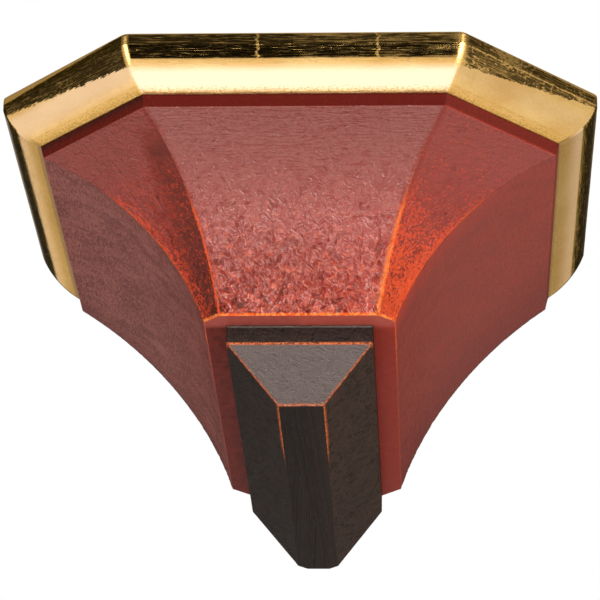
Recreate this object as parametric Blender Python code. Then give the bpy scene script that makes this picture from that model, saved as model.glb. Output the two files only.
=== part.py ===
"""Corner bracket: a gilt cornice shelf on a coved body, with a hipped pendant block under it.

It fits into the corner of a room, where two walls meet at a right angle. The line where the walls
meet is the Z axis and the top of the shelf is z = 0. -Y points out into the room, +X is to the
right as seen from the room, and each wall runs at 45 degrees to Y. All sizes are in metres.
"""

import math

import bmesh
import bpy
from mathutils import Matrix, Vector

# Plan of the shelf, seen from above
SHELF_WIDTH = 0.3800            # across the two side edges
SHELF_DEPTH = 0.5034            # from the corner of the room to the front edge
CORNER_FLAT = 0.0160            # width of the flat that keeps the back clear of the room's corner

# Gilt cornice: an upright band over a shallow quarter round
CORNICE_HEIGHT = 0.0298
CORNICE_BAND = 0.0078
CORNICE_PROJECTION = 0.0245     # how far it stands out past the top of the body
OVOLO_TURN = math.radians(53)
CORNICE_ARRIS = 0.0009

# Red body: a fillet under the cornice, then a cove down to the foot
FILLET_HEIGHT = 0.0080
FILLET_DRAFT = 0.0020
COVE_HEIGHT = 0.0956
COVE_TURN = math.radians(54)
FOOT_WIDTH = 0.1230
FOOT_DIAGONAL = 0.0104          # what is left of each cut-off corner at the foot, along X and Y
BODY_ARRIS = 0.0012

# Dark pendant block: an upright band, then hipped slopes to a flat ridge
PENDANT_FRONT_MARGIN = 0.0158   # from the foot's front edge
PENDANT_SIDE_MARGIN = 0.0145    # from the foot's side edges
PENDANT_BAND = 0.0120
PENDANT_HIP_HEIGHT = 0.0303
PENDANT_RIDGE_WIDTH = 0.0295
PENDANT_ARRIS = 0.0009

SEAT_GAP = 0.0003               # between pieces that are fixed face to face

# Fineness of the curves
OVOLO_STEPS = 8
COVE_STEPS = 20
ARRIS_STEPS = 3
SHARP_TURN = math.radians(20)   # corners that turn less belong to a curve and stay as they are

# Worked out from the sizes above
MITRE = math.tan(math.radians(22.5))
FOOT_INSET = (SHELF_WIDTH - FOOT_WIDTH) / 2
SHELF_DIAGONAL = FOOT_DIAGONAL + (1 - MITRE) * FOOT_INSET
FOOT_DEPTH = SHELF_DEPTH - FOOT_INSET
PENDANT_WIDTH = FOOT_WIDTH - 2 * PENDANT_SIDE_MARGIN
PENDANT_DEPTH = FOOT_DEPTH - PENDANT_FRONT_MARGIN
PENDANT_HIP_RUN = (PENDANT_WIDTH - PENDANT_RIDGE_WIDTH) / 2
BODY_TOP = -(CORNICE_HEIGHT + SEAT_GAP)
COVE_TOP = BODY_TOP - FILLET_HEIGHT
FOOT_LEVEL = COVE_TOP - COVE_HEIGHT
PENDANT_TOP = FOOT_LEVEL - SEAT_GAP
PENDANT_EAVES = PENDANT_TOP - PENDANT_BAND
RIDGE_LEVEL = PENDANT_EAVES - PENDANT_HIP_HEIGHT


def clear_scene():
    """Start from an empty scene."""
    for thing in list(bpy.data.objects):
        bpy.data.objects.remove(thing, do_unlink=True)


def paint(name, colour, roughness, metallic):
    """One Principled material."""
    material = bpy.data.materials.new(name)
    material.use_nodes = True
    shader = material.node_tree.nodes["Principled BSDF"]
    shader.inputs["Base Color"].default_value = (*colour, 1.0)
    shader.inputs["Roughness"].default_value = roughness
    shader.inputs["Metallic"].default_value = metallic
    material.diffuse_color = (*colour, 1.0)
    return material


def arc(start, end, turn, steps):
    """Points of a circular arc between two points; a positive turn bulges to the right of the way."""
    chord = end - start
    middle = (start + end) / 2
    to_centre = Vector((-chord.y, chord.x)) / (2 * math.tan(turn / 2))
    centre = middle + to_centre
    spoke = start - centre
    return [centre + Matrix.Rotation(turn * i / steps, 2) @ spoke for i in range(steps + 1)]


def eased(points, radius):
    """The open line through the points, with its sharp corners rounded, less its two end points."""
    line = []
    for before, corner, after in zip(points, points[1:], points[2:]):
        back = (before - corner).normalized()
        ahead = (after - corner).normalized()
        half_angle = back.angle(ahead) / 2
        turn = math.pi - 2 * half_angle
        if turn < SHARP_TURN:
            line.append(corner)
            continue
        reach = radius / math.tan(half_angle)
        if back.x * ahead.y - back.y * ahead.x > 0:
            turn = -turn
        line.extend(arc(corner + back * reach, corner + ahead * reach, turn, ARRIS_STEPS))
    return line


def plan_outline(width, depth, diagonal, arris, inset):
    """The outer edge in plan, from the left wall round the front to the right wall, moved in."""
    side = width / 2 - inset
    front = depth - inset
    wall = Vector((side, -side))
    if diagonal > 0:
        front_corner = Vector((width / 2 - diagonal - MITRE * inset, -front))
        side_corner = Vector((side, -(depth - diagonal - MITRE * inset)))
        right = [front_corner, side_corner, wall]
    else:
        right = [Vector((side, -front)), wall]
    left = [Vector((-point.x, point.y)) for point in reversed(right)]
    corners = left + right
    return [corners[0]] + eased(corners, arris) + [corners[-1]]


def coved_solid(name, plan, profile, material):
    """A closed solid against both walls; plan gives a ring for each inset and height of the profile."""
    mesh = bmesh.new()
    rings = []
    for step in profile:
        rings.append([mesh.verts.new((point.x, point.y, step.y)) for point in plan(step.x)])
    for upper, lower in zip(rings, rings[1:]):
        for i in range(len(upper) - 1):
            mesh.faces.new((upper[i], lower[i], lower[i + 1], upper[i + 1]))

    half = CORNER_FLAT / 2
    top_left, top_right = [mesh.verts.new((x, -half, profile[0].y)) for x in (-half, half)]
    low_left, low_right = [mesh.verts.new((x, -half, profile[-1].y)) for x in (-half, half)]
    mesh.faces.new([ring[0] for ring in rings] + [low_left, top_left])
    mesh.faces.new([ring[-1] for ring in rings] + [low_right, top_right])
    mesh.faces.new((top_left, low_left, low_right, top_right))
    mesh.faces.new(rings[0] + [top_right, top_left])
    mesh.faces.new(rings[-1] + [low_right, low_left])
    bmesh.ops.recalc_face_normals(mesh, faces=mesh.faces)

    data = bpy.data.meshes.new(name)
    mesh.to_mesh(data)
    mesh.free()
    data.materials.append(material)
    solid = bpy.data.objects.new(name, data)
    bpy.context.scene.collection.objects.link(solid)
    return solid


def shelf_plan(inset):
    """Half of a stretched octagon against the walls, for the cornice."""
    return plan_outline(SHELF_WIDTH, SHELF_DEPTH, SHELF_DIAGONAL, CORNICE_ARRIS, inset)


def body_plan(inset):
    """The same plan as the cornice, with the body's own arris."""
    return plan_outline(SHELF_WIDTH, SHELF_DEPTH, SHELF_DIAGONAL, BODY_ARRIS, inset)


def pendant_plan(inset):
    """A plain rectangle against the walls."""
    return plan_outline(PENDANT_WIDTH, PENDANT_DEPTH, 0, PENDANT_ARRIS, inset)


def build_cornice():
    """Gilt shelf: flat top, upright band, shallow quarter round."""
    band_foot = Vector((0, -CORNICE_BAND))
    lip = Vector((CORNICE_PROJECTION, -CORNICE_HEIGHT))
    over = Vector((CORNICE_PROJECTION, 0))
    ovolo = arc(band_foot, lip, OVOLO_TURN, OVOLO_STEPS)
    profile = eased([over, Vector((0, 0))] + ovolo, CORNICE_ARRIS) + [lip]
    gilding = paint("gilding", (0.78, 0.57, 0.24), 0.30, 1.0)
    coved_solid("cornice_shelf", shelf_plan, profile, gilding)


def build_body():
    """Red body: fillet, then the cove, eased at the foot."""
    fillet_top = Vector((CORNICE_PROJECTION, BODY_TOP))
    fillet_foot = Vector((CORNICE_PROJECTION + FILLET_DRAFT, COVE_TOP))
    foot = Vector((FOOT_INSET, FOOT_LEVEL))
    under = Vector((FOOT_INSET + FOOT_DIAGONAL, FOOT_LEVEL))
    cove = arc(fillet_foot, foot, -COVE_TURN, COVE_STEPS)
    profile = [fillet_top] + eased([fillet_top] + cove + [under], BODY_ARRIS)
    red = paint("red_paint", (0.33, 0.025, 0.020), 0.42, 0.0)
    coved_solid("cove_body", body_plan, profile, red)


def build_pendant():
    """Dark block under the foot: upright band, then hips down to a flat ridge."""
    top = Vector((0, PENDANT_TOP))
    eaves = Vector((0, PENDANT_EAVES))
    ridge_edge = Vector((PENDANT_HIP_RUN, RIDGE_LEVEL))
    ridge = Vector((PENDANT_WIDTH / 2, RIDGE_LEVEL))
    profile = [top] + eased([top, eaves, ridge_edge, ridge], PENDANT_ARRIS)
    dark = paint("black_paint", (0.030, 0.022, 0.020), 0.45, 0.0)
    coved_solid("pendant_block", pendant_plan, profile, dark)


clear_scene()
build_cornice()
build_body()
build_pendant()
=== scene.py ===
"""Looks of the corner bracket: a gilt cornice on a red cove, with a dark pendant block under it.

The frame gives the sizes. Z is the line where the two walls meet, z = 0 is the top of the shelf,
-Y points out into the room and +X is to the right as seen from the room. Sizes are in metres, but
the patterns on the surfaces are written in millimetres.
"""

import math

import bpy
from mathutils import Matrix, Vector


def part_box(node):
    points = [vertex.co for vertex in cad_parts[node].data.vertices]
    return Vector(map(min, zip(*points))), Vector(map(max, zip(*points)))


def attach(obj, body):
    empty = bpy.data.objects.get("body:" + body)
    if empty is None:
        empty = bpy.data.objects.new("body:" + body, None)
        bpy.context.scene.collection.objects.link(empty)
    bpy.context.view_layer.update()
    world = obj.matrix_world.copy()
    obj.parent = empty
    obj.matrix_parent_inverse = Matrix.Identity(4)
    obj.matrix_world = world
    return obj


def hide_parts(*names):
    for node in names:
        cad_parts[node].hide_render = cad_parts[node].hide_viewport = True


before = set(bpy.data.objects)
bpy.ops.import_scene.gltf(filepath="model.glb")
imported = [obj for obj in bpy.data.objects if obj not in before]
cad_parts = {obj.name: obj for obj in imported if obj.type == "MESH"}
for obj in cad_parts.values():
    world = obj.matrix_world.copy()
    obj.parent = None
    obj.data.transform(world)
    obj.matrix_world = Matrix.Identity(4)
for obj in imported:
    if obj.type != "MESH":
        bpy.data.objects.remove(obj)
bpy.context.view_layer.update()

bl_info = {
    "name": "Corner bracket",
    "version": (1, 0, 0),
    "blender": (4, 5, 0),
    "location": "View3D > Sidebar > Bracket",
    "description": "Builds the gilt cornice, the red cove and the dark pendant of a corner bracket",
    "category": "Add Mesh",
}

CORNICE_LOW, CORNICE_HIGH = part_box("cornice_shelf")
BODY_LOW, BODY_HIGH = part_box("cove_body")
PENDANT_LOW, PENDANT_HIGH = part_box("pendant_block")
MITRE = math.tan(math.radians(22.5))    # how fast a corner of 45 degrees runs back with the inset
FRONT, DIAGONAL, SIDE = 0.0, 1.0, 2.0   # kinds of face round the plan
TOP, UNDER, WALL = 1.0, 2.0, 3.0        # kinds of plain face; every other face has 0
MM = 1000.0
SEAT = 0.0002           # the visible body nearly closes the joint under the gilding
ARRIS_STEPS = 5
SHARP_TURN = math.radians(15)           # corners that turn less belong to a curve
DIAGONAL_START, SIDE_START = 0.2, 0.4   # apart in across, so that patterns differ from face to face
FAR = 500.0             # distance to a mitre, in mm, where there is none near
RELIEF_FADE = 1.2       # in mm, where the relief dies out at the cut-off edges
SHEEN_SPECULAR = 0.62
WOOD_LIGHT = (0.42, 0.28, 0.16)
WOOD_DARK = (0.23, 0.14, 0.078)

# The camera was fitted to the photograph's own edges: its angles, its place from the middle of the
# shelf along its own right, top and aim, in half widths of the shelf, and its focal length
CAMERA_ANGLES = (-0.04788397, 0.41593434, 0.01639654)
CAMERA_MIDDLE = Vector((0.0, -0.6, -0.3))
CAMERA_PLACE = (-0.05832758, 0.23666531, -12.20403732)
FOCAL_PIXELS, IMAGE_PIXELS, SENSOR = 3231.76, 600.0, 36.0
LIT_POINT = Vector((0.0, -0.33, -0.09))     # what the lamps look at
FLOOR_HALF = 20.0


class Wire:
    """One output of a node tree, on which sums are written as plain Python."""

    def __init__(self, tree, socket=None):
        self.tree = tree
        self.socket = socket

    def node(self, kind, settings=None, sockets=None, out=0):
        """A new node: its settings are set first, then the values or links of its sockets."""
        made = self.tree.nodes.new(kind)
        for name, value in (settings or {}).items():
            setattr(made, name, value)
        for key, value in (sockets or {}).items():
            socket = made.inputs[key]
            if isinstance(value, Wire):
                self.tree.links.new(value.socket, socket)
            elif socket.type == "RGBA" and len(value) == 3:
                socket.default_value = (*value, 1.0)
            else:
                socket.default_value = value
        return Wire(self.tree, made.outputs[out])

    def sum(self, operation, *values):
        return self.node("ShaderNodeMath", {"operation": operation}, dict(enumerate(values)))

    def __add__(self, other):
        return self.sum("ADD", self, other)

    def __radd__(self, other):
        return self.sum("ADD", other, self)

    def __sub__(self, other):
        return self.sum("SUBTRACT", self, other)

    def __rsub__(self, other):
        return self.sum("SUBTRACT", other, self)

    def __mul__(self, other):
        return self.sum("MULTIPLY", self, other)

    def __rmul__(self, other):
        return self.sum("MULTIPLY", other, self)

    def __truediv__(self, other):
        return self.sum("DIVIDE", self, other)

    def __abs__(self):
        return self.sum("ABSOLUTE", self)

    def least(self, other):
        return self.sum("MINIMUM", self, other)

    def most(self, other):
        return self.sum("MAXIMUM", self, other)

    def whole(self):
        return self.sum("FLOOR", self)

    def step(self, low, high):
        """Smoothly from 0 at low to 1 at high."""
        return self.node("ShaderNodeMapRange", {"interpolation_type": "SMOOTHSTEP"},
                         {0: self, 1: low, 2: high, 3: 0.0, 4: 1.0})

    def fade(self, low, high):
        """Smoothly from 1 at low to 0 at high."""
        return 1.0 - self.step(low, high)

    def spread(self, low, high, first, last):
        """Evenly from one value at low to another at high, and level beyond them."""
        return self.node("ShaderNodeMapRange", {}, {0: self, 1: low, 2: high, 3: first, 4: last})

    def blend(self, first, second):
        """The first colour where this is 0, the second where it is 1."""
        return self.node("ShaderNodeMix", {"data_type": "RGBA", "clamp_factor": True},
                         {0: self, 6: first, 7: second}, out=2)

    def point(self, x, y, z):
        return self.node("ShaderNodeCombineXYZ", {}, {0: x, 1: y, 2: z})

    def noise(self, place, detail=2.0, roughness=0.5, warp=0.0):
        """Clouds of about one unit across, between 0 and 1."""
        return self.node("ShaderNodeTexNoise", {}, {"Vector": place, "Scale": 1.0, "Detail": detail,
                                                    "Roughness": roughness, "Distortion": warp})

    def ridge(self, place, detail=2.0, roughness=0.5, warp=0.0, sharp=4.5):
        """Curly ridges about half a unit apart: 1 on the crest, 0 in the hollows."""
        cloud = self.noise(place, detail, roughness, warp)
        return 1.0 - (abs(cloud - 0.5) * sharp).least(1.0)

    def kept(self, name):
        """A number that the mesh keeps under that name."""
        return self.node("ShaderNodeAttribute", {"attribute_type": "GEOMETRY",
                                                 "attribute_name": name}, {}, out=2)

    def bump(self, height, distance, strength=1.0):
        return self.node("ShaderNodeBump", {}, {"Height": height, "Distance": distance,
                                                "Strength": strength})

    def parts(self):
        """Its three coordinates."""
        split = self.node("ShaderNodeSeparateXYZ", {}, {0: self}).socket.node
        return [Wire(self.tree, output) for output in split.outputs]


def arc(start, end, turn, steps):
    """Points of a circular arc between two points; a positive turn bulges to the right of the way."""
    chord = end - start
    middle = (start + end) / 2
    centre = middle + Vector((-chord.y, chord.x)) / (2 * math.tan(turn / 2))
    spoke = start - centre
    return [centre + Matrix.Rotation(turn * i / steps, 2) @ spoke for i in range(steps + 1)]


def eased(points, radius):
    """The open line through the points with its sharp corners rounded; its two end points go."""
    line = []
    for before, corner, after in zip(points, points[1:], points[2:]):
        back = (before - corner).normalized()
        ahead = (after - corner).normalized()
        half_angle = back.angle(ahead) / 2
        turn = math.pi - 2 * half_angle
        if turn < SHARP_TURN:
            line.append(corner)
            continue
        reach = radius / math.tan(half_angle)
        if back.x * ahead.y - back.y * ahead.x > 0:
            turn = -turn
        line.extend(arc(corner + back * reach, corner + ahead * reach, turn, ARRIS_STEPS))
    return line


def filled(points, spacing):
    """The same line with points added so that none are further apart than the spacing."""
    line = [points[0]]
    for start, end in zip(points, points[1:]):
        count = max(1, math.ceil((end - start).length / spacing))
        line.extend(start.lerp(end, i / count) for i in range(1, count + 1))
    return line


class Plan:
    """Outline in plan of a piece that stands in the corner of the room."""

    def __init__(self, width, depth, diagonal, arris, counts, corner_flat):
        self.width, self.depth, self.diagonal, self.arris = width, depth, diagonal, arris
        self.counts = counts        # columns on the front, each diagonal and each side
        self.corner_flat = corner_flat

    def corners(self, inset):
        """Right-hand front corner and side corner; they are one where nothing is cut off."""
        side, front = self.width / 2 - inset, self.depth - inset
        if not self.diagonal:
            return Vector((side, -front)), Vector((side, -front))
        cut = self.diagonal + MITRE * inset
        return (Vector((self.width / 2 - cut, -front)), Vector((side, -(self.depth - cut))))

    def right_half(self, inset):
        """Columns from the middle of the front to the right wall: (place, kind of face, across)."""
        front, side = self.corners(inset)
        wall = Vector((self.width / 2 - inset, -(self.width / 2 - inset)))
        middle = Vector((0.0, front.y))
        front_count, diagonal_count, side_count = self.counts
        stops = [middle, front, side, wall] if self.diagonal else [middle, front, wall]
        runs = [(FRONT, front_count // 2)]
        runs += [(DIAGONAL, diagonal_count)] if self.diagonal else []
        runs += [(SIDE, side_count)]
        columns = []
        for number, (kind, count) in enumerate(runs):
            start, end = stops[number], stops[number + 1]
            along = (end - start).normalized()
            first = start if number == 0 else start + along * self.ease(number, stops)
            last = end if number == len(runs) - 1 else end - along * self.ease(number + 1, stops)
            for i in range(count + 1):
                place = first.lerp(last, i / count)
                if kind == FRONT:
                    across = place.x
                elif kind == DIAGONAL:
                    across = DIAGONAL_START + (place - (start + end) / 2).dot(along)
                else:
                    across = SIDE_START - place.y
                columns.append((place, kind, across))
            if number < len(runs) - 1:
                columns += self.arris_columns(number + 1, stops, kind, runs[number + 1][0])
        return columns

    def ease(self, number, stops):
        """How far from a corner its rounding starts."""
        back = (stops[number - 1] - stops[number]).normalized()
        ahead = (stops[number + 1] - stops[number]).normalized()
        return self.arris / math.tan(back.angle(ahead) / 2)

    def arris_columns(self, number, stops, kind, next_kind):
        corner = stops[number]
        back = (stops[number - 1] - corner).normalized()
        ahead = (stops[number + 1] - corner).normalized()
        reach = self.ease(number, stops)
        turn = math.pi - back.angle(ahead)
        inner = arc(corner + back * reach, corner + ahead * reach, turn, ARRIS_STEPS)[1:-1]
        own, following = len(inner) // 2, len(inner) - len(inner) // 2
        kinds = [kind] * own + [next_kind] * following
        return [(place, kind, 0.0) for place, kind in zip(inner, kinds)]

    def ring(self, inset):
        """All columns from the left wall round the front to the right wall, then the back flat."""
        front, side = self.corners(inset)
        columns = []
        right = self.right_half(inset)
        left = [(Vector((-p.x, p.y)), kind, -across) for p, kind, across in reversed(right[1:])]
        for place, kind, across in left + right:
            mirrored = Vector((abs(place.x), place.y))
            columns.append((place, kind, across * MM, (mirrored - front).length * MM,
                            (mirrored - side).length * MM, 0.0))
        half = self.corner_flat / 2
        for x in (half, -half):
            columns.append((Vector((x, -half)), SIDE, 0.0, FAR, FAR, 1.0))
        return columns


def guide(name, points, **numbers):
    """A loose row of points for a tree to read, with numbers kept at each point."""
    mesh = bpy.data.meshes.new(name)
    mesh.from_pydata([tuple(p) for p in points], [], [])
    for key, values in numbers.items():
        mesh.attributes.new(key, "FLOAT", "POINT").data.foreach_set("value", values)
    thing = bpy.data.objects.new(name, mesh)
    bpy.context.scene.collection.objects.link(thing)
    return thing


RING_NUMBERS = ("kind", "across", "front_mitre", "side_mitre", "wall")


def ring_guide(name, ring):
    points = [(place.x, place.y, 0.0) for place, *_ in ring]
    numbers = {key: [column[i + 1] for column in ring] for i, key in enumerate(RING_NUMBERS)}
    return guide(name, points, **numbers)


def profile_guide(name, profile):
    run, runs = 0.0, [0.0]
    for start, end in zip(profile, profile[1:]):
        run += (end - start).length * MM
        runs.append(run)
    return guide(name, [(p.x, 0.0, p.y) for p in profile], run=runs)


def moulding_tree(rows, columns):
    """Geometry Nodes: carries a plan down a profile as one closed solid, then gives it its relief."""
    tree = bpy.data.node_groups.new("moulding_on_plan", "GeometryNodeTree")
    sockets = (("Outer plan", "Object"), ("Inner plan", "Object"), ("Profile", "Object"),
               ("Reach", "Float"), ("Grain width", "Float"), ("Grain length", "Float"),
               ("Grain at top", "Float"), ("Grain at foot", "Float"), ("Foot run", "Float"),
               ("Full run", "Float"), ("Wave", "Float"), ("Wave length", "Float"),
               ("Seed", "Float"), ("Finish", "Material"))
    tree.interface.new_socket("Geometry", in_out="OUTPUT", socket_type="NodeSocketGeometry")
    for name, kind in sockets:
        tree.interface.new_socket(name, in_out="INPUT", socket_type="NodeSocket" + kind)
    start = tree.nodes.new("NodeGroupInput")
    given = {name: Wire(tree, start.outputs[name]) for name, _ in sockets}
    page = Wire(tree)

    drum = page.node("GeometryNodeMeshCylinder", {"fill_type": "NGON"},
                     {"Vertices": columns, "Side Segments": rows - 1, "Radius": 1.0, "Depth": 2.0})
    caps = [Wire(tree, drum.socket.node.outputs[name]) for name in ("Top", "Bottom")]

    index = page.node("GeometryNodeInputIndex")
    row = ((index + 0.5) / float(columns)).whole()
    column = index - row * float(columns)

    def shape_of(name):
        return page.node("GeometryNodeObjectInfo", {}, {"Object": given[name]}, out=4)

    def sample(name, number, kind, value):
        return page.node("GeometryNodeSampleIndex", {"data_type": kind, "domain": "POINT"},
                         {"Geometry": shape_of(name), "Value": value, "Index": number})

    def named(key):
        return page.node("GeometryNodeInputNamedAttribute", {"data_type": "FLOAT"}, {"Name": key})

    spot = page.node("GeometryNodeInputPosition")
    inset, _, level = sample("Profile", row, "FLOAT_VECTOR", spot).parts()
    down = sample("Profile", row, "FLOAT", named("run"))
    share = inset / given["Reach"]

    def between(key):
        outer = sample("Outer plan", column, "FLOAT", named(key))
        inner = sample("Inner plan", column, "FLOAT", named(key))
        return outer + (inner - outer) * share

    outer_x, outer_y, _ = sample("Outer plan", column, "FLOAT_VECTOR", spot).parts()
    inner_x, inner_y, _ = sample("Inner plan", column, "FLOAT_VECTOR", spot).parts()
    place = page.point(outer_x + (inner_x - outer_x) * share,
                       outer_y + (inner_y - outer_y) * share, level)

    # The numbers are kept before the points move, while they still follow the index
    shape = drum
    keep = [(key, between(key)) for key in RING_NUMBERS] + [("down", down)]
    for key, value in keep:
        shape = page.node("GeometryNodeStoreNamedAttribute",
                          {"data_type": "FLOAT", "domain": "POINT"},
                          {"Geometry": shape, "Name": key, "Value": value})
    shape = page.node("GeometryNodeSetPosition", {}, {"Geometry": shape, "Position": place})

    # Faces on the walls, on top and underneath are flat and plain
    on_wall = page.sum("GREATER_THAN", named("wall"), 0.2)
    plain = caps[0].most(caps[1]).most(on_wall)
    plain_kind = (caps[0] * TOP).most(caps[1] * UNDER).most(on_wall * WALL)
    shape = page.node("GeometryNodeStoreNamedAttribute", {"data_type": "FLOAT", "domain": "FACE"},
                      {"Geometry": shape, "Name": "plain", "Value": plain_kind})
    shape = page.node("GeometryNodeSetShadeSmooth", {"domain": "FACE"},
                      {"Geometry": shape, "Selection": 1.0 - plain, "Shade Smooth": True})

    # Relief: wrinkles of the paint that run down the slope, over slow waves of the hand finish
    across, kept_down = named("across"), named("down")
    width, length = given["Grain width"], given["Grain length"]
    seed = given["Seed"]
    worm = page.ridge(page.point(across / width, kept_down / length, seed), 2.0, 0.55, 1.3)
    pebble = page.noise(page.point(across / (width * 0.6), kept_down / (length * 0.45),
                                   seed + 19.0), detail=2.0, roughness=0.6)
    reach = (kept_down / given["Foot run"]).least(1.0)
    grain = worm * 0.65 + pebble * 0.35
    slow = page.noise(page.point(across / given["Wave length"], kept_down / given["Wave length"],
                                 seed + 31.0), detail=1.0)
    swell = reach * reach * reach
    amount = given["Grain at top"] + (given["Grain at foot"] - given["Grain at top"]) * swell
    inward = (1.0 - grain) * amount + (1.0 - slow) * given["Wave"]

    # Flat where the solid is cut off, so that the pieces still meet face to face
    rim = (kept_down.step(0.0, RELIEF_FADE)
           * (given["Full run"] - kept_down).step(0.0, RELIEF_FADE) * (1.0 - named("wall")))
    push = page.node("ShaderNodeVectorMath", {"operation": "SCALE"},
                     {0: page.node("GeometryNodeInputNormal"), 3: 0.0 - inward * rim / MM})
    shape = page.node("GeometryNodeStoreNamedAttribute", {"data_type": "FLOAT", "domain": "POINT"},
                      {"Geometry": shape, "Name": "relief", "Value": grain})
    shape = page.node("GeometryNodeSetPosition", {}, {"Geometry": shape, "Offset": push})
    shape = page.node("GeometryNodeRealizeInstances", {}, {"Geometry": shape})
    shape = page.node("GeometryNodeSetMaterial", {}, {"Geometry": shape,
                                                      "Material": given["Finish"]})
    end = tree.nodes.new("NodeGroupOutput")
    tree.links.new(shape.socket, end.inputs[0])
    return tree


def moulding(name, plan, profile, finish, relief):
    """A finished piece: the plan is carried down the profile, with relief, as one plain mesh."""
    reach = profile[-1].x
    outer = ring_guide("outer_plan", plan.ring(0.0))
    inner = ring_guide("inner_plan", plan.ring(reach))
    line = profile_guide("profile", profile)
    full_run = sum((b - a).length for a, b in zip(profile, profile[1:])) * MM
    tree = moulding_tree(len(profile), len(outer.data.vertices))
    holder = bpy.data.objects.new(name, bpy.data.meshes.new(name))
    bpy.context.scene.collection.objects.link(holder)
    modifier = holder.modifiers.new("Moulding", "NODES")
    modifier.node_group = tree
    values = {"Outer plan": outer, "Inner plan": inner, "Profile": line, "Reach": reach,
              "Foot run": full_run, "Full run": full_run, "Finish": finish, **relief}
    for item in tree.interface.items_tree:
        if item.in_out == "INPUT":
            modifier[item.identifier] = values[item.name]
    bpy.context.view_layer.update()
    graph = bpy.context.evaluated_depsgraph_get()
    mesh = bpy.data.meshes.new_from_object(holder.evaluated_get(graph))
    mesh.name = name
    holder.modifiers.remove(modifier)
    holder.data = mesh
    mesh.materials.clear()
    mesh.materials.append(finish)
    for thing in (outer, inner, line):
        bpy.data.objects.remove(thing)
    if len(mesh.polygons) < 100:
        raise RuntimeError(f"{name} came out empty")
    return holder


def new_finish(name, **constants):
    """A material with its shader; returns the material, an empty wire and the shader node."""
    material = bpy.data.materials.new(name)
    material.use_nodes = True
    shader = material.node_tree.nodes["Principled BSDF"]
    for key, value in constants.items():
        shader.inputs[key.replace("_", " ")].default_value = value
    return material, Wire(material.node_tree), shader


def feed(shader, **wires):
    for key, wire in wires.items():
        wire.tree.links.new(wire.socket, shader.inputs[key.replace("_", " ")])


def polish(page, shader, gloss, roughness, colour, normal):
    """Lays a glossier shader over the first one, as far as the gloss says."""
    shiny = page.tree.nodes.new("ShaderNodeBsdfPrincipled")
    shiny.inputs["Roughness"].default_value = roughness
    shiny.inputs["Specular IOR Level"].default_value = SHEEN_SPECULAR
    feed(shiny, Base_Color=colour, Normal=normal)
    both = page.node("ShaderNodeMixShader", {}, {0: gloss, 1: Wire(page.tree, shader.outputs[0]),
                                                 2: Wire(page.tree, shiny.outputs[0])})
    page.tree.links.new(both.socket, page.tree.nodes["Material Output"].inputs["Surface"])


class Skin:
    """What the finishes read on a piece, in mm, and the patterns that lie on it."""

    def __init__(self, page):
        self.page = page
        self.across, self.down = page.kept("across"), page.kept("down")
        self.front_mitre, self.side_mitre = page.kept("front_mitre"), page.kept("side_mitre")
        self.relief = page.kept("relief")
        kind, plain = page.kept("kind"), page.kept("plain")
        place = page.node("ShaderNodeTexCoord", {}, {}, out=3)
        self.x, self.y, self.z = (part * MM for part in place.parts())
        self.out = 0.0 - self.y     # how far out into the room
        self.right = self.x.step(-0.5, 0.5)
        self.left = 1.0 - self.right
        self.front = kind.fade(0.35, 0.65)
        self.aside = kind.step(1.35, 1.65)
        self.diagonal = 1.0 - self.front - self.aside
        self.kind = kind
        self.under = abs(plain - UNDER).fade(0.4, 0.6)
        self.plain = plain.step(0.4, 0.6)
        self.bare = self.plain * (1.0 - self.under)     # on top and on the walls

    def noise(self, width, length, seed, *shape):
        """Clouds of that width across the moulding and that length down it."""
        return self.page.noise(self.page.point(self.across / width, self.down / length, seed), *shape)

    def ridge(self, width, length, seed, *shape):
        """Curly ridges of that size."""
        return self.page.ridge(self.page.point(self.across / width, self.down / length, seed), *shape)

    def grain(self, thickness, length, *shape):
        """Clouds drawn out along the object's depth, like the grain of wood."""
        return self.page.noise(self.page.point(self.x / thickness, self.y / length,
                                               self.z / thickness), *shape)


def bare_wood(n, look):
    """Colour of the unpainted wood on top and on the walls."""
    rings = n.grain(4.0, 90.0, 3.0, 0.6, 0.4)
    pores = n.grain(0.7, 14.0, 2.0, 0.5)
    return (rings.step(0.3, 0.7) * 0.7 + pores.step(0.35, 0.7) * 0.3).blend(look.wood_light,
                                                                            look.wood_dark)


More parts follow.
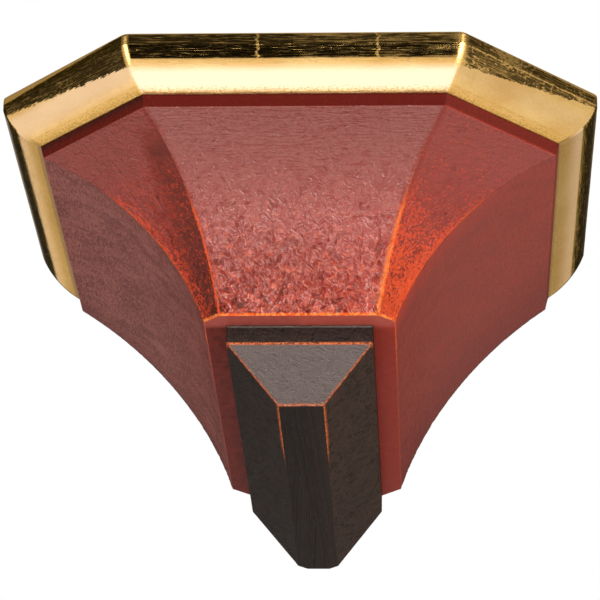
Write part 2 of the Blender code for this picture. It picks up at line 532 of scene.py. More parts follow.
def gilding(look):
    """Burnished leaf: streaks and a painted dark reflection on the band, a painted pale reflection on
    the round, rubbed at its lower edge.
    """
    material, page, shader = new_finish("gilding", Specular_Tint=(1.0, 0.80, 0.48, 1.0))
    n = Skin(page)
    across, down, right, left = n.across, n.down, n.right, n.left
    front, diagonal, aside = n.front, n.diagonal, n.aside
    along = n.front_mitre / (n.front_mitre + n.side_mitre + 0.001)

    streaks = n.noise(13.0, 0.85, 5.0, 4.0, 0.68)
    long_streaks = n.noise(38.0, 0.9, 9.0, 3.0, 0.65)
    mottle = n.noise(3.2, 1.8, 21.0, 4.0, 0.65)
    specks = n.noise(1.7, 1.4, 35.0, 3.0, 0.65)
    leaf = n.noise(40.0, 26.0, 14.0, 2.0)
    torn = page.noise(page.point(across / 7.0, n.kind, 17.0), 4.0, 0.7)
    feather = page.noise(page.point(across / 7.0, (down + across * 0.12) / 1.1, 51.0), 4.0, 0.7)
    hair = page.noise(page.point(across / 26.0 + down / 30.0, down / 1.6, 41.0), 1.0)
    scratch = abs(hair - 0.5).fade(0.0, 0.012)

    # Leaf laps show as torn golden lines on the painted dark reflection of the front
    ragged = page.noise(page.point(down / 2.2, across / 60.0, 3.0), 4.0, 0.75) - 0.5
    joint = (across + ragged * 9.0 + 22.0) / look.leaf_width
    to_joint = abs(joint - (joint + 0.5).whole()) * look.leaf_width
    lap = ((to_joint + (specks - 0.5) * 2.4).fade(0.2, 0.9) * down.fade(15.5, 18.0)
           * front * n.front_mitre.step(20.0, 30.0))

    # The painted dark reflection narrows towards the outer corners and ends in a torn edge
    upper = 1.0 + along * (4.5 - right * 2.8) * diagonal + aside * 1.0
    lower = 17.0 + (5.0 - along * (8.5 + right * 3.5)) * diagonal + aside * 7.5
    edge = ((torn - 0.5) * (0.8 + diagonal * (3.2 + right * 3.0))
            + (feather - 0.5) * (0.5 + diagonal * left * 6.0))
    dark_reflection = ((down - upper + edge * 0.4).step(-0.4, 0.5)
             * (lower - down + edge).step(-0.25 - aside * 0.6, 0.25 + aside * 0.6))
    depth = (0.985 + diagonal * left * 0.010 - front * (0.015 + right * 0.03)
             - right * diagonal * 0.05 - aside * 0.05)
    gleam = (streaks + right * 0.03).step(0.54, 0.68).most(
        (long_streaks + right * 0.03).step(0.56, 0.66) * 0.9)
    gleam = gleam * (1.0 - diagonal * left * 0.35)
    patches = ((mottle * 0.6 + leaf * 0.4 + right * 0.03).step(0.52, 0.60)
               * diagonal * (0.14 + right * 0.56))
    dark_reflection = dark_reflection * (1.0 - gleam * 0.8 * (1.0 - diagonal * 0.5)) * (1.0 - patches) * (1.0 - lap)

    gold = (leaf * 0.7 + mottle * 0.3).step(0.3, 0.7).blend(look.leaf_deep, look.leaf_light)
    # Painted reflection of bright light: paler leaf on the lower part of the round and on the sides
    clear = (front * down.step(19.0, 27.0) * (1.0 - down.step(36.0, 41.0) * 0.7)
             + diagonal * (0.55 - right * 0.45) * down.step(14.0, 20.0) * down.fade(24.0, 40.0)
             + aside * 0.9 * (1.0 - down.step(27.0, 37.0) * 0.8))
    gold = clear.blend(gold, look.leaf_pale_reflection)
    gold = (down.step(30.0, 41.0) * diagonal * 0.75).blend(gold, look.leaf_deep)
    rub = (specks * 0.7 + mottle * 0.3 + down.spread(33.0, 43.0, 0.0, 0.10)).step(0.55, 0.63)
    rub = rub * down.step(33.0, 38.0)
    gold = (rub * 0.65).blend(gold, look.leaf_brown)
    crease = abs(down - 35.5 + (torn - 0.5) * 5.0).fade(0.2, 1.0)
    gold = (crease * diagonal * feather.step(0.4, 0.6) * 0.6).blend(gold, look.leaf_brown)
    gold = ((lower - down + edge).step(-0.3, 0.5) * 0.85).blend(gold, look.bronze)
    rim = ((42.9 - aside * (2.2 - right * 1.4) - down + (specks - 0.5) * 4.0).fade(0.2, 1.4)
           * (0.35 + aside * 0.4 - diagonal * 0.2))
    gold = rim.blend(gold, look.ground)
    # Painted highlights: the dark reflection is lifted along the mitres, the arris of the diagonals,
    # the top edge, the leaf laps and the upper strip of the left diagonal
    mitre_glow = n.front_mitre.fade(1.2, 3.4 + right * 3.4) * (1.0 - dark_reflection * 0.3)
    arris_line = (abs(down - 8.6 + (torn - 0.5) * 3.0).fade(0.1, 1.0) * diagonal
                  * (0.15 + right * 0.85) * mottle.step(0.36, 0.52))
    top_line = abs(down - 0.9).fade(0.3, 0.9)
    upper_strip = (upper - down - edge * 0.4).step(-0.5, 0.6) * diagonal * left * 0.8
    shine = mitre_glow.most(arris_line).most(top_line * 0.6).most(lap).most(upper_strip)
    gold = (dark_reflection * depth * (1.0 - shine * 0.9)).blend(gold, look.dark_reflection)
    roughness = (look.roughness + gleam * 0.13 + shine * 0.13 + rub * 0.12 + scratch * 0.10
                 + diagonal * right * dark_reflection * 0.12)
    height = (streaks * 0.20 + long_streaks * 0.14 + specks * 0.06 + lap * 0.6 + scratch * 0.3
              + mottle * 0.15 - rub * 0.25)
    feed(shader, Base_Color=n.plain.blend(gold, bare_wood(n, look)),
         Metallic=(1.0 - rim * 0.8) * (1.0 - n.plain),
         Roughness=(roughness * (1.0 - n.plain) + n.plain * 0.65).least(1.0),
         Normal=page.bump(height, 0.00006, 0.8))
    return material


def red_paint(look, foot_run):
    """Brushed and stippled red over orange, rubbed through along the edges."""
    material, page, shader = new_finish("red_paint", Specular_IOR_Level=0.06)
    n = Skin(page)
    down, right, left = n.down, n.right, n.left
    front, diagonal, aside = n.front, n.diagonal, n.aside
    low = down.spread(30.0, foot_run, 0.0, 1.0)
    lower = low * low
    lowest = lower * lower
    cloud = n.noise(14.0, 22.0, 2.0, 3.0, 0.6)
    brush = n.noise(1.7, 7.0, 4.0, 3.0, 0.65, 0.3)
    worm = n.ridge(11.0, 14.0, 6.0, 2.0, 0.55, 1.6, 3.6)
    fine = n.ridge(5.2, 6.5, 26.0, 1.5, 0.5, 1.0)
    thread = n.ridge(4.0, 5.0, 58.0, 1.5, 0.5, 1.2, 5.5)
    stipple = n.noise(1.7, 1.8, 8.0, 3.0, 0.72)
    fleck = n.noise(1.45, 1.6, 18.0, 2.0, 0.6)
    blob = n.noise(3.0, 3.6, 28.0, 2.5, 0.6, 0.8)
    patch = n.noise(6.0, 7.0, 12.0, 3.0, 0.65, 0.6)
    crest = n.relief * 0.4 + worm * 0.35 + fine * 0.25

    # The three kinds of face differ: dusty in front, clean red on the diagonals, brown aside
    dusty = (crest * 0.40 + stipple * 0.35 + cloud * 0.25).step(0.30, 0.62)
    dusty = dusty.blend(look.red, look.dusty)
    dusty = (lower * (0.46 + n.x.step(-30.0, 60.0) * 0.38)).blend(dusty, look.bright)
    clean = (brush * 0.3 + stipple * 0.3 + cloud * 0.2 + crest * 0.2).step(0.34, 0.56)
    clean = clean.blend(look.deep, look.clean)
    # Painted sheen: a paler red on the upper diagonals, more on the right
    clean = ((0.50 + right * 0.15) * (1.0 - low * 0.8)).blend(clean, look.sheen_red)
    near_front = n.front_mitre.fade(8.0, 42.0)
    near_side = n.side_mitre.fade(0.5, 14.0)
    # Brown streaks with painted shade on the left diagonal, near the front mitre and in the hollows of
    # the wrinkles
    streaks_and_shade = near_front * 0.55 + low * 0.20 - near_side * 0.15 + (1.0 - crest) * 0.45
    streaks_and_shade = streaks_and_shade.step(0.40, 0.85) * left * down.step(12.0, 44.0)
    clean = (streaks_and_shade * 0.75).blend(clean, look.brown)
    leather = n.noise(4.2, 1.6, 44.0, 3.0, 0.68, 0.5)
    side = (leather * 0.65 + cloud * 0.35).step(0.40, 0.60) * (1.0 - right * 0.6) + right * 0.6
    side = side.blend(look.worn_dark_and_shade, (right * 0.9).blend(look.worn, look.worn_red))
    # Painted shade: the sides darker towards the foot, near the left side mitre and towards the wall
    side = (low * (0.25 + near_side * left * 0.15)).blend(side, look.worn_dark_and_shade)
    to_wall = (n.out - abs(n.x)) * 0.7
    side = (to_wall.fade(0.0, 38.0 + right * 40.0) * 0.5).blend(side, look.worn_dark_and_shade)
    side = (n.side_mitre.fade(4.0, 34.0) * right * low * 0.4).blend(side, look.bright)
    base = diagonal.blend(dusty, clean)
    base = aside.blend(base, side)

    # Painted shade darkens the hollows of the wrinkles; dust and painted highlights lie on their
    # crests near the foot of the front
    hollow_shade = (0.48 - crest).step(0.0, 0.18) * (0.20 + lower * 0.80) * (1.0 - aside * 0.6)
    base = (hollow_shade * 0.92).blend(base, look.deep)
    # Painted shade, grey, between the wrinkles near the foot of the front
    wrinkle_shade = (0.55 - worm + (stipple - 0.5) * 0.4).step(0.0, 0.25) * lower * front
    base = (wrinkle_shade * 0.85).blend(base, look.wrinkle_shade)
    # Dust with painted highlight on the crests near the foot
    dust_and_highlight = (crest + (stipple - 0.5) * 0.4).step(0.60, 0.82) * (0.08 + lower * 0.38) * front
    base = dust_and_highlight.blend(base, look.dust_and_highlight)
    rough = fine * 0.5 + stipple * 0.5
    # Painted glints on the palest crests near the foot
    crest_glint = rough.step(0.66, 0.78) * worm.step(0.2, 0.6) * lower * front
    base = (crest_glint * low * 0.6).blend(base, look.crest_glint)
    # Painted shade over a band of the lower front
    lower_shade = low.step(0.50, 0.72) * low.fade(0.82, 0.96) * front
    base = (lower_shade * (0.22 - right * 0.04)).blend(base, look.deep)
    # Painted shade in small pits near the foot
    speck = (stipple * 0.55 + fine * 0.45).fade(0.30, 0.42) * lowest * front
    base = (speck * 0.85).blend(base, look.deep)

    # Orange shows through as fine dots that thicken towards the foot and the edges
    dense = (lower * 0.023 + near_side * right * down.step(50.0, 85.0) * 0.1035
             + near_front * right * down.step(55.0, 95.0) * 0.092 + right * low * 0.0575)
    dots = (fleck * 0.62 + thread * 0.16 + patch * 0.22 + dense).step(0.57, 0.70) * right * diagonal
    ember = thread * 0.40 + fleck * 0.45 + patch * 0.25 + near_side * down.step(44.0, 66.0) * 0.16
    ember = ember.step(0.66, 0.80) * left * diagonal * down.step(40.0, 60.0)
    tinge = (blob * 0.6 + crest * 0.4).step(0.58, 0.70) * lower * front * 0.60
    flame = (down.step(60.0, 125.0) * (0.15 + right * 0.35) + front).blend(look.ember, look.orange)
    base = (dots * 0.80).most(ember * 0.75).most(tinge).blend(base, flame)

    # Edges rubbed through to the orange, with paler spots where the rubbing went deepest
    ragged = (patch - 0.5) * 2.6 + (stipple - 0.5) * 4.4
    front_wear = ((n.front_mitre + ragged).fade(0.2, 1.2 + right * 0.6)
                  * down.step(66.0, 95.0) * (1.0 - aside))
    side_wear = ((n.side_mitre + ragged).fade(0.1, 1.3) * down.step(48.0, 70.0)
                 * (1.0 - right * 0.35 * (1.0 - low)))
    forward = n.out.step(240.0, 365.0)
    foot_wear = ((foot_run - down + ragged * 0.7).fade(0.3, 1.5)
                 * (1.0 - aside * (0.88 - forward * 0.58)))
    worn = front_wear.most(side_wear).most(foot_wear)
    base = (worn * (0.75 + stipple * 0.4)).blend(base, look.orange)
    spark = rough.step(0.48, 0.66) * foot_wear.most(front_wear * right * low)
    spark = spark.most(n.front_mitre.fade(0.5, 4.0) * right * front * lower
                       * (stipple + crest * 0.3).step(0.56, 0.68))
    base = (spark * (1.0 - aside) * 0.75).blend(base, look.spark)

    # The fillet under the gold is a deeper red
    fillet_foot = look.fillet_height * MM
    fillet = down.fade(fillet_foot - 0.6, fillet_foot + 0.2)
    base = (fillet * (1.0 - aside * 0.5 - diagonal * right * 0.25)).blend(base, look.deep)
    fillet_line = abs(down - fillet_foot + 0.2).fade(0.3, 1.5) * stipple.step(0.35, 0.6)
    base = (fillet_line * diagonal * right * 0.30).blend(base, look.ember)
    shadow_line = (down.fade(0.1, 0.9) * (0.10 + diagonal * left * 0.3)
                   + fillet * diagonal * left * down.fade(1.5, 5.5) * 0.6)
    base = shadow_line.blend(base, look.shadow)

    # Under the foot the paint is calmer; painted light brightens its right part and the rim in front
    # of the block, and the rim has dust with painted highlight
    foot_noise = page.noise(page.point(n.x / 6.0, n.y / 9.0, 3.0), 4.0, 0.65)
    foot_colour = (foot_noise.step(0.20, 0.80) * 0.75).blend(look.deep, look.red)
    foot_colour = (right * 0.35).blend(foot_colour, look.bright)
    rim_front_light = n.out.step(352.0, 362.0)
    foot_colour = (rim_front_light * 0.36).blend(foot_colour, look.bright)
    foot_colour = (rim_front_light * (0.15 + foot_noise * 0.4)).blend(foot_colour, look.dust_and_highlight)
    base = n.under.blend(base, foot_colour)

    # Wrinkles deepen towards the foot; the sheen lies on their crests and leaves out the worn parts
    grow = 0.14 + low * 0.10 + lower * 0.30 + lowest * 0.80 + left * diagonal * 0.25
    grow = grow * (1.0 - aside * 0.35)
    height = (worm * 0.60 + fine * 0.36 + stipple * 0.08) * grow + patch * 0.08 + stipple * 0.03
    ripple = n.noise(13.0, 2.4, 71.0, 3.0, 0.6, 0.9)
    height = height * (1.0 - aside * 0.5) + leather * aside * 0.22
    height = height + ripple * (1.0 - low * 0.8) * 0.23
    height = height * (1.0 - n.under) + foot_noise * n.under * 0.1
    painted = 1.0 - n.bare
    colour = n.bare.blend(base, bare_wood(n, look))
    pit = (0.58 - worm * 0.6 - fine * 0.4 + (stipple - 0.5) * 0.4).step(0.0, 0.22) * low
    edge_band = n.front_mitre.fade(1.0, 4.0) * stipple.fade(0.48, 0.60) * 0.7
    gloss = (0.92 - low * 0.12 - lower_shade * 0.2 - edge_band - worn * 0.8 - aside * 0.92
             - diagonal * (0.52 + low * 0.38) - streaks_and_shade * diagonal - fillet - n.under - pit * 0.9)
    feed(shader, Base_Color=colour, Normal=page.bump(height, 0.0024),
         Roughness=(0.42 + (cloud - 0.5) * 0.2 + worn * 0.1) * painted + n.bare * 0.7)
    polish(page, shader, gloss.most(0.0) * painted, look.gloss_roughness, colour,
           page.bump(height, 0.0050))
    return material


def black_paint(look, eaves):
    """Brown-black paint, brushed along the block and rubbed through along its front edges."""
    material, page, shader = new_finish("black_paint", Specular_IOR_Level=0.02)
    n = Skin(page)
    down, front, other = n.down, n.front, 1.0 - n.front
    brush = n.grain(1.3, 16.0, 3.0, 0.65, 0.3)
    cloud = n.grain(14.0, 20.0, 3.0, 0.6)
    fine = n.noise(1.6, 1.6, 5.0, 4.0, 0.65, 0.3)
    worm = n.ridge(8.0, 8.0, 15.0, 2.0, 0.55, 1.0)
    patch = n.noise(5.0, 4.0, 11.0, 3.0, 0.6)
    base = (brush * 0.45 + cloud * 0.25 + fine * 0.3).step(0.35, 0.65).blend(look.black, look.brown)
    # Painted light and shade: the right side a touch lighter, the left side blacker
    base = (n.aside * n.x.step(0.0, 14.0) * 0.03).blend(base, look.tan)
    base = (n.aside * n.x.fade(-14.0, 0.0) * 0.75).blend(base, look.black)
    mottle = (fine * 0.6 + worm * 0.4).step(0.38, 0.64)
    base = (other * mottle * 0.11).blend(base, look.bloom_and_sheen)
    base = (other * (1.0 - mottle) * 0.55).blend(base, look.black)
    # Painted sheen with bloom on the front slope below the eaves, and a little on the other faces
    bloom_and_sheen = front * down.step(eaves, eaves + 2.0) * (0.50 + fine * 0.30 + worm * 0.22)
    base = bloom_and_sheen.blend(base, look.bloom_and_sheen)
    # Painted highlight with dust along the top edge, where the block meets the foot
    joint = down.fade(0.7, 1.9) * front * (0.15 + fine * 0.8)
    base = joint.blend(base, look.dust_and_highlight)

    # Rubbed along the eaves, the hips and the front part of the ridge
    corner = n.front_mitre.fade(1.5, 9.0)
    ragged = (patch - 0.5) * 3.0 + (fine - 0.5) * 3.0
    eaves_wear = ((abs(down - eaves - 0.5) + ragged * 0.8).fade(0.4, 1.5)
                  * front.most(corner * 0.7))
    hip_wear = (n.front_mitre + ragged).fade(0.4, 2.0) * down.step(eaves, eaves + 2.0)
    to_ridge = abs(n.z - PENDANT_LOW.z * MM)
    ridge_wear = (to_ridge + ragged * 1.2 + n.out.fade(165.0, 270.0) * 3.2).fade(0.3, 1.8)
    worn = eaves_wear.most(hip_wear).most(ridge_wear * (1.0 - n.plain))
    broken = patch * 0.4 + fine * 0.6
    worn = worn * (0.20 + broken.step(0.40, 0.50) * 0.80)
    base = worn.blend(base, broken.step(0.42, 0.56).blend(look.rust, look.orange))
    base = (worn * broken.step(0.52, 0.60) * 0.7).blend(base, look.tan)
    height = brush * 0.25 + fine * 0.45 + worm * 0.3
    colour = n.bare.blend(base, bare_wood(n, look))
    normal = page.bump(height * (1.0 + front * 0.6), 0.0013)
    feed(shader, Base_Color=colour, Normal=normal,
         Roughness=(0.38 + (cloud - 0.5) * 0.2 + worn * 0.15) * (1.0 - n.bare) + n.bare * 0.7)
    gloss = (front * (0.15 + down.step(eaves, eaves + 1.5) * 0.55 - worn * 0.1)
             * (1.0 - n.plain))
    polish(page, shader, gloss, look.gloss_roughness, colour, normal)
    return material


def length(name, text, value):
    return bpy.props.FloatProperty(name=name, description=text, default=value, min=0.0,
                                   unit="LENGTH", precision=4)


def colour(name, text, value):
    return bpy.props.FloatVectorProperty(name=name, description=text, default=value, size=3,
                                         min=0.0, max=1.0, subtype="COLOR")


def turn(name, text, degrees):
    return bpy.props.FloatProperty(name=name, description=text, default=math.radians(degrees),
                                   subtype="ANGLE")


def amount(name, text, value):
    return bpy.props.FloatProperty(name=name, description=text, default=value, min=0.0)


class CorniceSettings(bpy.types.PropertyGroup):
    width: length("Width", "Across the two side edges", CORNICE_HIGH.x - CORNICE_LOW.x)
    depth: length("Depth", "From the room's corner to the front edge", -CORNICE_LOW.y)
    height: length("Height", "Of the whole cornice", CORNICE_HIGH.z - CORNICE_LOW.z)
    band: length("Band", "Height of the upright band", 0.0078)
    projection: length("Projection", "How far it stands out past the red body",
                       BODY_LOW.x - CORNICE_LOW.x)
    ovolo_turn: turn("Quarter round", "How far the rounded part turns", 53)
    arris: length("Arris", "Radius of the edges", 0.0009)
    mitre_radius: length("Mitre radius", "Radius of the upright corners", 0.0068)
    corner_flat: length("Corner flat", "Width of the flat in the room's corner",
                        -2 * CORNICE_HIGH.y)
    leaf_width: amount("Leaf", "Distance between the laps of the leaf, in mm", 74.0)
    roughness: amount("Roughness", "Of the burnished leaf", 0.09)
    leaf_light: colour("Light leaf", "Leaf where it is thick", (0.83, 0.55, 0.215))
    leaf_deep: colour("Deep leaf", "Leaf where it is thin", (0.66, 0.38, 0.11))
    # Painted pale reflection on the round and the sides
    leaf_pale_reflection: colour("Pale leaf", "Leaf on the lower half of the round", (0.93, 0.67, 0.47))
    leaf_brown: colour("Brown leaf", "Leaf rubbed thin near the lower edge", (0.50, 0.30, 0.06))
    bronze: colour("Bronze", "Leaf that gleams through the smoke", (0.86, 0.52, 0.15))
    # Painted dark reflection on the band
    dark_reflection: colour("Smoke", "Smoked leaf of the band", (0.026, 0.016, 0.005))
    ground: colour("Ground", "Red-brown ground under the leaf", (0.30, 0.13, 0.03))
    wood_light: colour("Light wood", "Unpainted wood", WOOD_LIGHT)
    wood_dark: colour("Dark wood", "Grain of the unpainted wood", WOOD_DARK)


class BodySettings(bpy.types.PropertyGroup):
    fillet_height: length("Fillet height", "Band under the cornice", 0.0080)
    fillet_draft: length("Fillet draft", "How far the fillet leans in", 0.0020)
    cove_turn: turn("Cove", "How far the cove turns", 54)
    foot_width: length("Foot width", "Across the foot", 0.1230)
    foot_diagonal: length("Foot corner", "What is cut off each corner at the foot", 0.0104)
    arris: length("Arris", "Radius of the edges", 0.0012)
    grain_at_top: amount("Relief at top", "Depth of the wrinkles at the top, in mm", 0.30)
    grain_at_foot: amount("Relief at foot", "Depth of the wrinkles at the foot, in mm", 1.3)
    grain_width: amount("Wrinkle width", "In mm", 9.5)
    grain_length: amount("Wrinkle length", "In mm", 12.5)
    gloss_roughness: amount("Gloss roughness", "Of the sheen on the front", 0.20)
    red: colour("Red", "Main red", (0.22, 0.022, 0.012))
    dusty: colour("Dusty red", "Red with a dusty bloom", (0.225, 0.040, 0.030))
    # Dust with painted highlight
    dust_and_highlight: colour("Dust", "Pale dust on the fine wrinkles", (0.42, 0.14, 0.115))
    # Painted glint
    crest_glint: colour("Fringe", "Palest edges of the wrinkles near the foot", (0.80, 0.42, 0.36))
    bright: colour("Bright red", "Red of the front near the foot", (0.54, 0.050, 0.026))
    clean: colour("Clean red", "Red of the diagonals", (0.20, 0.026, 0.017))
    deep: colour("Deep red", "Red in the hollows and on the fillet", (0.085, 0.006, 0.003))
    # Painted sheen on the upper diagonals
    sheen_red: colour("Hazy red", "Red of the diagonals near the top", (0.27, 0.052, 0.040))
    # Painted shade between the wrinkles
    wrinkle_shade: colour("Grime", "Grey dirt between the wrinkles", (0.095, 0.045, 0.036))
    # Brown streaks and painted shade of the left diagonal
    brown: colour("Brown", "Brown glaze", (0.080, 0.018, 0.013))
    worn: colour("Worn red", "Grey-brown red of the left side", (0.275, 0.090, 0.075))
    # Also used as painted shade on the sides
    worn_dark_and_shade: colour("Dark worn red", "Darker grain of the sides", (0.14, 0.029, 0.023))
    worn_red: colour("Brick red", "Redder colour of the right side", (0.295, 0.047, 0.031))
    ember: colour("Ember", "Red where the paint is rubbed but not through", (0.52, 0.050, 0.022))
    orange: colour("Orange", "Undercoat", (0.80, 0.10, 0.018))
    spark: colour("Spark", "Undercoat where it is rubbed thinnest", (0.95, 0.29, 0.07))
    # Painted shadow under the cornice
    shadow: colour("Shadow line", "Dirt under the cornice", (0.020, 0.006, 0.005))
    wood_light: colour("Light wood", "Unpainted wood", WOOD_LIGHT)
    wood_dark: colour("Dark wood", "Grain of the unpainted wood", WOOD_DARK)


class PendantSettings(bpy.types.PropertyGroup):
    width: length("Width", "Across the block", PENDANT_HIGH.x - PENDANT_LOW.x)
    depth: length("Depth", "From the room's corner to its front", -PENDANT_LOW.y)
    height: length("Height", "Of the whole block", PENDANT_HIGH.z - PENDANT_LOW.z)
    band: length("Band", "Height of the upright band", 0.0120)
    ridge_width: length("Ridge width", "Of the flat ridge", 0.0295)
    arris: length("Arris", "Radius of the edges", 0.0009)
    gloss_roughness: amount("Gloss roughness", "Of the sheen on the front", 0.28)
    black: colour("Black", "Dark paint", (0.012, 0.007, 0.005))
    brown: colour("Brown", "Where the paint is thin", (0.036, 0.019, 0.014))
    # Bloom with painted sheen
    bloom_and_sheen: colour("Bloom", "Dusty bloom on the front slope", (0.115, 0.078, 0.070))
    # Dust and painted highlight at the joint with the foot
    dust_and_highlight: colour("Dust", "Pale dust at the joint with the foot", (0.24, 0.20, 0.17))
    rust: colour("Rust", "Edges where the paint is only thinned", (0.22, 0.045, 0.015))
    orange: colour("Orange", "Undercoat on the edges", (0.68, 0.14, 0.035))
    tan: colour("Tan", "Bare edge where it is rubbed thinnest", (0.55, 0.27, 0.12))
    wood_light: colour("Light wood", "Unpainted wood", WOOD_LIGHT)
    wood_dark: colour("Dark wood", "Grain of the unpainted wood", WOOD_DARK)


class StageSettings(bpy.types.PropertyGroup):
    floor_level: bpy.props.FloatProperty(name="Floor level", description="Height of the floor",
                                         default=-4.0, unit="LENGTH")
    floor_colour: colour("Floor colour", "Plain and pale", (0.80, 0.79, 0.77))
    below: amount("Light from below", "Brightness of the light from below", 1.45)
    behind: amount("Light from behind", "Brightness of the light from behind", 0.72)
    aside: amount("Light from the sides", "Brightness low at both sides", 1.0)
    above: amount("Light from above", "Brightness of the upper half", 0.5)
    dark: amount("Dark part", "Brightness where nothing else shines", 0.045)
    ahead: amount("Light from ahead", "Brightness straight in front", 0.36)
    matt: amount("Held back", "Part of the surrounding light that matt colour doesn't get", 0.35)
    key: amount("Right softbox", "Watts of the softbox in front on the right", 40.0)
    fill: amount("Left softbox", "Watts of the softbox in front on the left", 27.0)
    front: amount("Front fill", "Watts of the fill that only lights matt colour", 1.5)
    glint: amount("Glints", "Watts of the lamps that only show as glints on the relief", 10.0)


class BRACKET_OT_cornice(bpy.types.Operator):
    """Gilt cornice: upright band over a shallow quarter round"""

    bl_idname = "bracket.cornice"
    bl_label = "Gilt cornice"

    def execute(self, context):
        s = context.scene.bracket_cornice
        reach = s.projection
        over, edge = Vector((reach, 0.0)), Vector((0.0, 0.0))
        lip = Vector((reach, -s.height))
        ovolo = arc(Vector((0.0, -s.band)), lip, s.ovolo_turn, 44)
        profile = eased([over, edge] + ovolo, s.arris) + [lip]
        profile = filled(profile, 0.0011)
        plan = cornice_plan(context, s.mitre_radius)
        piece = moulding("gilt_cornice", plan, profile, gilding(s),
                         {"Grain width": 9.0, "Grain length": 4.0, "Grain at top": 0.012,
                          "Grain at foot": 0.03, "Wave": 0.16, "Wave length": 15.0, "Seed": 3.0})
        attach(piece, "root")
        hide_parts("cornice_shelf")
        return {"FINISHED"}


def cornice_plan(context, arris, counts=(190, 70, 110)):
    """Half of a stretched octagon; the cove's foot decides how much its corners are cut."""
    cornice, body = context.scene.bracket_cornice, context.scene.bracket_body
    foot_inset = (cornice.width - body.foot_width) / 2
    diagonal = body.foot_diagonal + (1 - MITRE) * foot_inset
    return Plan(cornice.width, cornice.depth, diagonal, arris, counts, cornice.corner_flat)


class BRACKET_OT_body(bpy.types.Operator):
    """Red body: fillet, then the cove down to the foot"""

    bl_idname = "bracket.body"
    bl_label = "Red cove"

    def execute(self, context):
        cornice, s = context.scene.bracket_cornice, context.scene.bracket_body
        foot_inset = (cornice.width - s.foot_width) / 2
        top, foot_level = BODY_HIGH.z + SEAT, BODY_LOW.z
        fillet_top = Vector((cornice.projection, top))
        fillet_foot = Vector((cornice.projection + s.fillet_draft, top - s.fillet_height))
        foot = Vector((foot_inset, foot_level))
        under = Vector((foot_inset + s.foot_diagonal, foot_level))
        cove = arc(fillet_foot, foot, -s.cove_turn, 128)
        line = eased([fillet_top] + cove + [under], s.arris)
        profile = filled([fillet_top] + line, 0.0012)
        run = sum((b - a).length for a, b in zip(profile, profile[1:])) * MM
        plan = cornice_plan(context, s.arris, (260, 74, 64))
        piece = moulding("red_body", plan, profile, red_paint(s, run - s.arris * MM),
                         {"Grain width": s.grain_width, "Grain length": s.grain_length,
                          "Grain at top": s.grain_at_top, "Grain at foot": s.grain_at_foot,
                          "Wave": 0.12, "Wave length": 26.0, "Seed": 1.0})
        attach(piece, "root")
        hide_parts("cove_body")
        return {"FINISHED"}


class BRACKET_OT_pendant(bpy.types.Operator):
    """Dark block under the foot: upright band, then hips down to a flat ridge"""

    bl_idname = "bracket.pendant"
    bl_label = "Dark pendant"

    def execute(self, context):
        s = context.scene.bracket_pendant
        flat = context.scene.bracket_cornice.corner_flat
        top_level = PENDANT_HIGH.z
        eaves_level, ridge_level = top_level - s.band, top_level - s.height
        run = (s.width - s.ridge_width) / 2
        top = Vector((0.0, top_level))
        eaves = Vector((0.0, eaves_level))
        ridge_edge = Vector((run, ridge_level))
        ridge = Vector((s.width / 2, ridge_level))
        profile = filled([top] + eased([top, eaves, ridge_edge, ridge], s.arris), 0.0011)
        plan = Plan(s.width, s.depth, 0.0, s.arris, (90, 0, 210), flat)
        piece = moulding("dark_pendant", plan, profile, black_paint(s, s.band * MM),
                         {"Grain width": 3.0, "Grain length": 6.0, "Grain at top": 0.08,
                          "Grain at foot": 0.14, "Wave": 0.12, "Wave length": 22.0, "Seed": 5.0})
        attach(piece, "root")
        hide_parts("pendant_block")
        return {"FINISHED"}


def softbox(name, place, size, watts, glossy=True, matt=True):
    """A rectangular lamp that looks at the bracket and lights its gloss, its matt colour or both."""
    lamp = bpy.data.lights.new(name, "AREA")
    lamp.shape, lamp.size, lamp.size_y = "RECTANGLE", size[0], size[1]
    lamp.energy = watts
    box = bpy.data.objects.new(name, lamp)
    box.location = place
    box.rotation_euler = (LIT_POINT - Vector(place)).to_track_quat("-Z", "Y").to_euler()
    box.visible_camera, box.visible_glossy, box.visible_diffuse = False, glossy, matt
    bpy.context.scene.collection.objects.link(box)


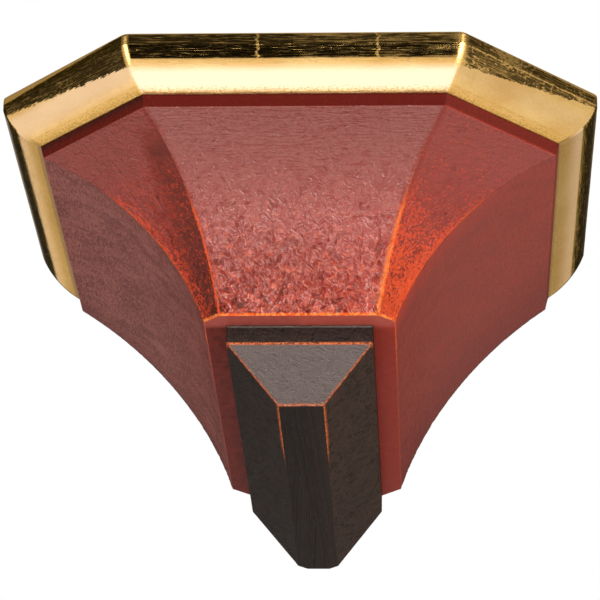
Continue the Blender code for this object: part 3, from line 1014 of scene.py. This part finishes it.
def studio_world(s):
    """Soft surrounding light: bright below and behind, dark in front; plain white as a backdrop."""
    world = bpy.data.worlds.new("studio")
    world.use_nodes = True
    world.node_tree.nodes.clear()
    page = Wire(world.node_tree)
    place = page.node("ShaderNodeTexCoord", {}, {}, out=0)
    x, y, z = place.parts()
    down = 0.0 - z
    below = ((down.step(0.72, 0.95) * 0.3 + down.step(0.64, 0.70) * 0.8)
             * (1.0 - x.step(0.2, 0.55) * 0.18) * s.below)
    aside = (abs(x).step(0.30, 0.60) * down.step(0.02, 0.12)
             * (1.0 - x.step(0.0, 0.3) * 0.12) * s.aside)
    above = z.step(0.55, 0.85) * s.above
    backdrop_glow = down.step(-0.08, -0.04).most(z.step(0.30, 0.34) * 0.45)
    fall = (1.0 - down.step(0.0, 0.3) * 0.25) * (1.0 - x.step(0.0, 0.3) * 0.22)
    behind = y.step(0.35, 0.75) * backdrop_glow * fall * s.behind
    ahead = (0.0 - y).step(0.5, 0.8) * (1.0 - down.step(0.02, 0.14) * 0.85)
    ahead = ahead.most(abs(x).step(0.5, 0.9) * z.step(0.15, 0.30)) * s.ahead
    light = below.most(aside).most(behind).most(above).most(ahead) + s.dark
    path = page.node("ShaderNodeLightPath").socket.node
    seen, matt = (Wire(page.tree, path.outputs[name]) for name in ("Is Camera Ray", "Is Diffuse Ray"))
    light = light * (1.0 - matt * s.matt)
    glow = page.node("ShaderNodeBackground", {}, {"Color": (1.0, 0.97, 0.92), "Strength": light})
    backdrop = page.node("ShaderNodeBackground", {}, {"Color": (1.0, 1.0, 1.0), "Strength": 1.0})
    mixed = page.node("ShaderNodeMixShader", {}, {0: seen, 1: glow, 2: backdrop})
    end = world.node_tree.nodes.new("ShaderNodeOutputWorld")
    world.node_tree.links.new(mixed.socket, end.inputs[0])
    bpy.context.scene.world = world


def fitted_camera(scene, half_width):
    """The camera at the photograph's own angle."""
    across, tilt, lean = CAMERA_ANGLES
    ahead = Vector((math.sin(across) * math.cos(tilt), math.cos(across) * math.cos(tilt),
                    math.sin(tilt)))
    level = Vector((math.cos(across), -math.sin(across), 0.0))
    upward = level.cross(ahead)
    right = math.cos(lean) * level + math.sin(lean) * upward
    top = -math.sin(lean) * level + math.cos(lean) * upward
    to_right, to_top, along_aim = CAMERA_PLACE
    place = half_width * (CAMERA_MIDDLE + to_right * right + to_top * top + along_aim * ahead)
    data = bpy.data.cameras.new("camera")
    data.sensor_width = SENSOR
    data.lens = FOCAL_PIXELS * SENSOR / IMAGE_PIXELS
    data.clip_start, data.clip_end = 0.05, 60.0
    camera = bpy.data.objects.new("camera", data)
    camera.matrix_world = Matrix((
        (right.x, top.x, -ahead.x, place.x), (right.y, top.y, -ahead.y, place.y),
        (right.z, top.z, -ahead.z, place.z), (0.0, 0.0, 0.0, 1.0)))
    scene.collection.objects.link(camera)
    scene.camera = camera


class BRACKET_OT_stage(bpy.types.Operator):
    """Plain pale floor, soft studio light and the camera"""

    bl_idname = "bracket.stage"
    bl_label = "Stage"

    def execute(self, context):
        s = context.scene.bracket_stage
        material, page, shader = new_finish("floor_paint", Roughness=0.8, Emission_Strength=0.35,
                                            Emission_Color=(*s.floor_colour, 1.0))
        place = page.node("ShaderNodeTexCoord", {}, {}, out=3)
        cloud = page.noise(place, 2.0)
        feed(shader, Base_Color=cloud.blend(tuple(s.floor_colour),
                                            tuple(c * 0.985 for c in s.floor_colour)))
        mesh = bpy.data.meshes.new("floor")
        corners = ((-1, -1), (1, -1), (1, 1), (-1, 1))
        mesh.from_pydata([(x * FLOOR_HALF, y * FLOOR_HALF, s.floor_level) for x, y in corners], [],
                         [(0, 1, 2, 3)])
        mesh.materials.append(material)
        floor = bpy.data.objects.new("floor", mesh)
        floor.visible_glossy = False
        floor.visible_diffuse = False
        context.scene.collection.objects.link(floor)

        studio_world(s)
        for name, side, watts in (("softbox_right", 1, s.key), ("softbox_left", -1, s.fill)):
            softbox(name, (side * 1.25, -1.75, -0.30), (0.7, 2.3), watts)
        softbox("front_fill", (0.2, -2.0, -0.55), (1.0, 0.6), s.front, glossy=False)
        for name, side, watts in (("glint_right", 1, s.glint), ("glint_left", -1, s.glint * 0.6)):
            softbox(name, (side * 0.80, -1.75, -0.60), (0.40, 1.1), watts, matt=False)
        fitted_camera(context.scene, context.scene.bracket_cornice.width / 2)
        context.scene.view_settings.view_transform = "Standard"
        return {"FINISHED"}


OPERATORS = (BRACKET_OT_cornice, BRACKET_OT_body, BRACKET_OT_pendant, BRACKET_OT_stage)
SETTINGS = {"bracket_cornice": CorniceSettings, "bracket_body": BodySettings,
            "bracket_pendant": PendantSettings, "bracket_stage": StageSettings}


class BRACKET_PT_panel(bpy.types.Panel):
    """Lists the pieces of the bracket and their settings"""

    bl_idname = "BRACKET_PT_panel"
    bl_label = "Corner bracket"
    bl_space_type = "VIEW_3D"
    bl_region_type = "UI"
    bl_category = "Bracket"

    def draw(self, context):
        for operator, name in zip(OPERATORS, SETTINGS):
            box = self.layout.box()
            box.operator(operator.bl_idname)
            settings = getattr(context.scene, name)
            for key in type(settings).__annotations__:
                box.prop(settings, key)


CLASSES = (*SETTINGS.values(), *OPERATORS, BRACKET_PT_panel)


def register():
    for made in CLASSES:
        bpy.utils.register_class(made)
    for name, made in SETTINGS.items():
        setattr(bpy.types.Scene, name, bpy.props.PointerProperty(type=made))


def unregister():
    for name in SETTINGS:
        delattr(bpy.types.Scene, name)
    for made in reversed(CLASSES):
        bpy.utils.unregister_class(made)


def main():
    register()
    bpy.ops.bracket.cornice()
    bpy.ops.bracket.body()
    bpy.ops.bracket.pendant()
    bpy.ops.bracket.stage()


if __name__ == "__main__":
    main()
